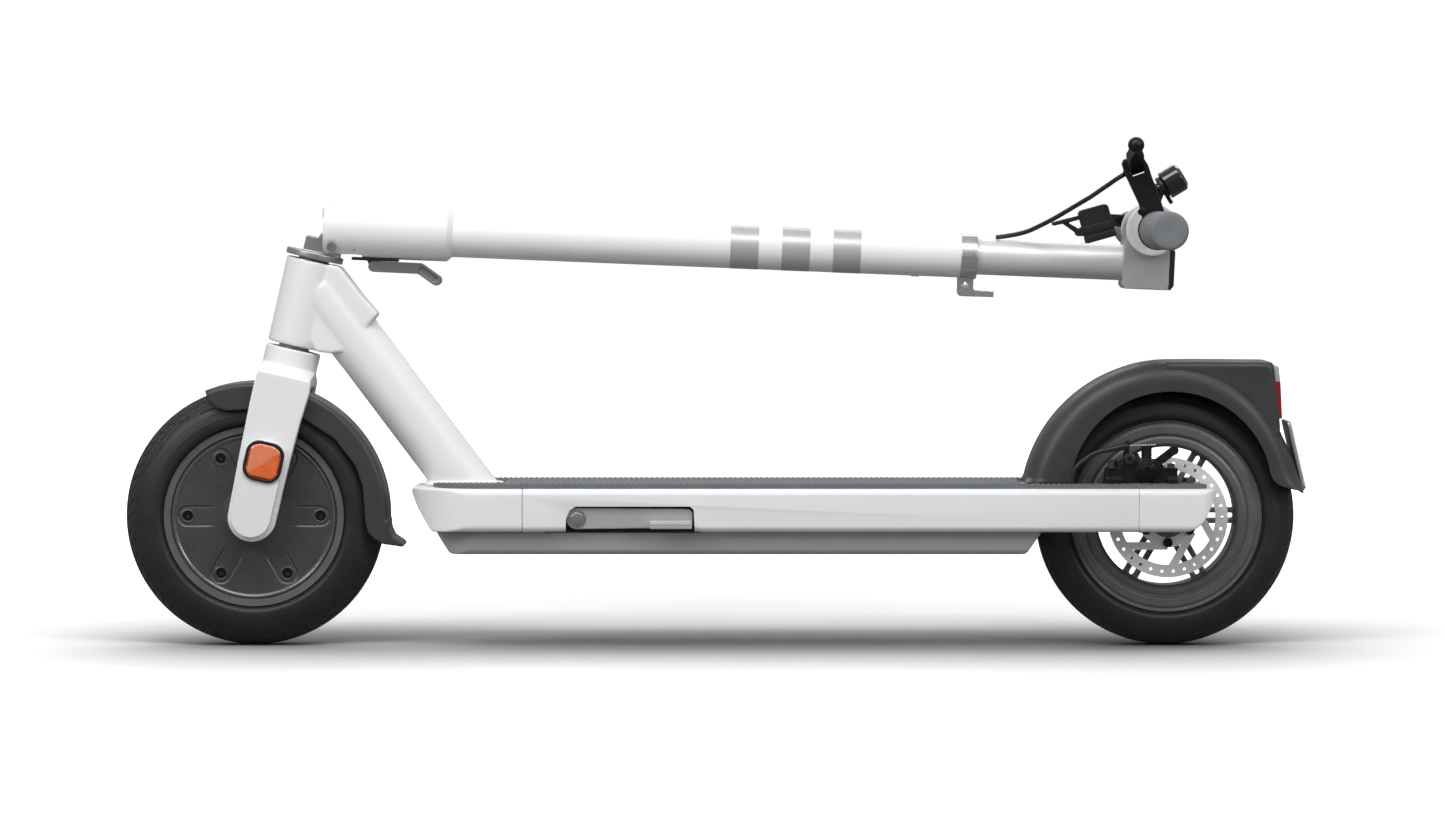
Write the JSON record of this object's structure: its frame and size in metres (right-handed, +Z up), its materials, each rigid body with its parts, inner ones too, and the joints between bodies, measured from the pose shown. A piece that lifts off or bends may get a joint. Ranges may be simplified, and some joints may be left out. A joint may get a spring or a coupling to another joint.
{
  "type": "electric kick scooter",
  "caption": "Folded electric kick scooter with a hub motor in front, a cable disc brake behind, a hinged stem with a latch, a flat ribbed deck and mudguards.",
  "frame": {"origin": "on the ground, in the middle of the folded scooter's length and width", "axes": "+X towards the rear wheel, +Y towards the scooter's right side, +Z up"},
  "size_m": [1.1577, 0.47, 0.4962],
  "materials": {
    "white_paint": "satin",
    "white_plastic": "satin",
    "silver": "satin anodised",
    "steel": "machined",
    "dark_cast": "fine metallic",
    "tyre": "matt",
    "dark_plastic": "fine grain",
    "black_plastic": "satin",
    "grip_rubber": "matt",
    "mat_rubber": "ribbed",
    "cable_black": "satin",
    "orange_lens": "prismatic",
    "red_lens": "prismatic",
    "clear_lens": "clear",
    "black_glass": "gloss",
    "grey_plastic": "fine grain",
    "lever_grey": "satin",
    "copper": "enamelled",
    "battery_wrap": "satin",
    "brake_compound": "matt",
    "plate_white": "smooth",
    "button_grey": "satin"
  },
  "bodies": {
    "frame": {"main_frame": "white_paint", "deck_nose": "white_paint", "deck_extrusion": "white_paint", "deck_tail": "white_paint", "bottom_cover": "grey_plastic", "battery_pack": "battery_wrap", "deck_mat": "mat_rubber", "rear_fender": "dark_plastic", "tail_light": "red_lens", "plate_bracket": "grey_plastic", "number_plate": "plate_white", "rear_axle": "steel", "headset_bearings": "steel", "caliper_body": "black_plastic", "fixed_brake_pad": "brake_compound", "rear_brake_cable": "cable_black", "charge_port": "black_plastic", "kickstand_mount": "dark_cast"},
    "kickstand": {"kickstand_leg": "silver"},
    "charge_cap": {"charge_cap": "cable_black"},
    "caliper_arm": {"caliper_arm": "black_plastic"},
    "brake_pad": {"moving_brake_pad": "brake_compound"},
    "fork": {"fork_crown": "white_paint", "steerer_tube": "steel", "hinge_base": "silver", "front_axle": "steel", "hub_stator": "copper", "fork_leg_covers": "white_plastic", "fork_reflectors": "orange_lens", "front_fender": "dark_plastic"},
    "front_wheel": {"front_tyre": "tyre", "motor_shell": "dark_cast", "motor_covers": "dark_cast", "motor_cover_screws": "black_plastic", "front_wheel_bearings": "steel"},
    "rear_wheel": {"rear_tyre": "tyre", "rear_rim": "dark_cast", "brake_rotor": "steel", "rotor_bolts": "black_plastic", "rear_wheel_bearings": "steel"},
    "stem": {"hinge_block": "white_paint", "hinge_pin": "steel", "latch_base": "black_plastic", "stem_tube": "white_paint", "upper_stem_tube": "silver", "collar_hook": "silver", "head_housing": "silver", "display_glass": "black_glass", "headlight": "clear_lens", "handlebar": "silver", "grips": "grip_rubber", "brake_perch": "black_plastic", "throttle_housing": "black_plastic", "stem_brake_cable": "cable_black", "bell": "black_plastic"},
    "latch": {"latch_lever": "lever_grey"},
    "brake_lever": {"brake_lever": "black_plastic"},
    "throttle": {"throttle_paddle": "black_plastic"},
    "bell_striker": {"bell_striker": "black_plastic"},
    "power_button": {"power_button": "button_grey"}
  },
  "joints": [
    {"name": "steering", "type": "hinge", "parent": "frame", "child": "fork", "pos_m": [-0.452, 0, 0.127], "axis": [0.225, 0, 0.9744], "range_deg": [-60, 60]},
    {"name": "stem_fold", "type": "hinge", "parent": "fork", "child": "stem", "pos_m": [-0.375, 0, 0.3907], "axis": [0, -1, 0], "range_deg": [0, 79.3]},
    {"name": "front_wheel_spin", "type": "hinge", "parent": "fork", "child": "front_wheel", "pos_m": [-0.452, 0, 0.127], "axis": [0, 1, 0], "continuous": true},
    {"name": "rear_wheel_spin", "type": "hinge", "parent": "frame", "child": "rear_wheel", "pos_m": [0.4418, 0, 0.127], "axis": [0, 1, 0], "continuous": true},
    {"name": "kickstand_swing", "type": "hinge", "parent": "frame", "child": "kickstand", "pos_m": [-0.134, -0.073, 0.128], "axis": [0, 1, 0], "range_deg": [0, 100]},
    {"name": "latch_open", "type": "hinge", "parent": "stem", "child": "latch", "pos_m": [-0.33504, 0, 0.37147], "axis": [0, 1, 0], "range_deg": [0, 40]},
    {"name": "brake_lever_pull", "type": "hinge", "parent": "stem", "child": "brake_lever", "pos_m": [0.40595, -0.085, 0.46597], "axis": [0.9444, 0, 0.3287], "range_deg": [0, 18], "stiffness_Nm_per_rad": 0.8, "springref_deg": -11.46},
    {"name": "throttle_press", "type": "hinge", "parent": "stem", "child": "throttle", "pos_m": [0.3611, 0.066, 0.4042], "axis": [0, 1, 0], "range_deg": [0, 20], "stiffness_Nm_per_rad": 0.08, "springref_deg": -17.19},
    {"name": "bell_strike", "type": "hinge", "parent": "stem", "child": "bell_striker", "pos_m": [0.43102, -0.062, 0.44717], "axis": [0.8555, 0, 0.5179], "range_deg": [0, 25], "stiffness_Nm_per_rad": 0.03, "springref_deg": -17.19},
    {"name": "power_press", "type": "slide", "parent": "stem", "child": "power_button", "axis": [-0.9992, 0, 0.0403], "range_m": [0, 0.0008], "stiffness_N_per_m": 300, "springref_m": -0.001},
    {"name": "caliper_arm_pull", "type": "hinge", "parent": "frame", "child": "caliper_arm", "pos_m": [0.42, -0.055, 0.1736], "axis": [0, -1, 0], "range_deg": [0, 14.4], "stiffness_Nm_per_rad": 0.3, "springref_deg": -11.46},
    {"name": "brake_pad_press", "type": "slide", "parent": "frame", "child": "brake_pad", "axis": [0, 1, 0], "range_m": [0, 0.0005]},
    {"name": "charge_cap_flap", "type": "hinge", "parent": "frame", "child": "charge_cap", "pos_m": [-0.09, 0.0836, 0.152], "axis": [1, 0, 0], "range_deg": [0, 110]}
  ],
  "couplings": [
    {"joint": "caliper_arm_pull", "follows": "brake_lever_pull", "ratio": 0.8},
    {"joint": "brake_pad_press", "follows": "brake_lever_pull", "m_per_rad": 0.00159}
  ]
}
